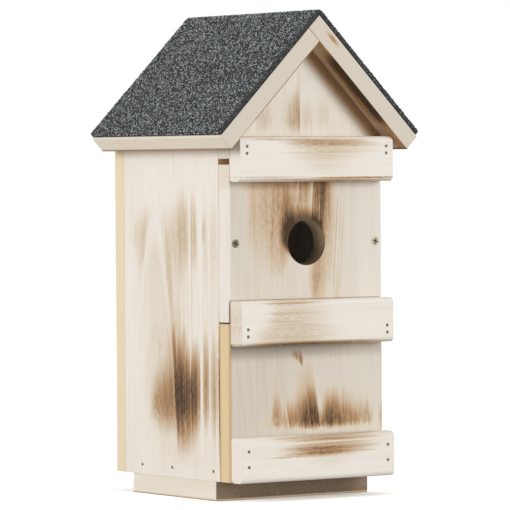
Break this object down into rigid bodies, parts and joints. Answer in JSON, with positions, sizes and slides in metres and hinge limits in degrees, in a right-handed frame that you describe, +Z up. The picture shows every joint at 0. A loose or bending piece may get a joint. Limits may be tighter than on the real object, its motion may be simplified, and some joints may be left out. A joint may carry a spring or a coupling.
{
  "type": "bird nest box",
  "caption": "Upright wooden nest box with a pitched felt roof, a round entrance hole and a front that slides out sideways for cleaning.",
  "frame": {"origin": "on the middle plane under the ridge, half way between the roof's front edge and the back panel's rear face, on the surface that the box stands on", "axes": "+Z up, -Y out of the front with the entrance hole, +X to the right as seen from the front"},
  "size_m": [0.1774, 0.1656, 0.3469],
  "materials": {
    "flamed_side_board": "pale planed spruce with dark torch burns along the grain",
    "flamed_front_board": "pale planed spruce with brown torch streaks",
    "raw_board": "raw planed spruce, slightly yellow",
    "pale_board": "pale planed spruce",
    "batten_wood": "pale planed spruce, lightly flamed, with eased edges",
    "roof_board_wood": "pale planed spruce, brown underneath",
    "slated_felt": "bitumen felt with blue-grey slate granules",
    "bronzed_screw": "dark bronzed steel",
    "brassed_screw": "yellow plated steel",
    "nail_steel": "dull grey steel"
  },
  "bodies": {
    "box": {"left_side_wall": "flamed_side_board", "right_side_wall": "flamed_side_board", "back_panel": "raw_board", "floor_board": "raw_board", "base_plate": "pale_board", "lower_front_panel": "flamed_front_board", "gable_panel": "flamed_front_board", "top_batten": "batten_wood", "middle_batten": "batten_wood", "bottom_batten": "batten_wood", "left_roof_board": "roof_board_wood", "right_roof_board": "roof_board_wood", "roof_felt": "slated_felt", "batten_nails": "nail_steel", "floor_nails": "nail_steel", "back_nails": "nail_steel", "roof_nails": "nail_steel", "base_nails": "nail_steel"},
    "door": {"front_door": "flamed_front_board"},
    "left_screw": {"left_door_screw": "bronzed_screw"},
    "right_screw": {"right_door_screw": "brassed_screw"}
  },
  "joints": [
    {"name": "door_slide", "type": "slide", "parent": "box", "child": "door", "axis": [1, 0, 0], "range_m": [-0.14, 0.14]},
    {"name": "left_screw_pull", "type": "slide", "parent": "door", "child": "left_screw", "axis": [0, -1, 0], "range_m": [0, 0.02]},
    {"name": "right_screw_pull", "type": "slide", "parent": "door", "child": "right_screw", "axis": [0, -1, 0], "range_m": [0, 0.02]}
  ]
}
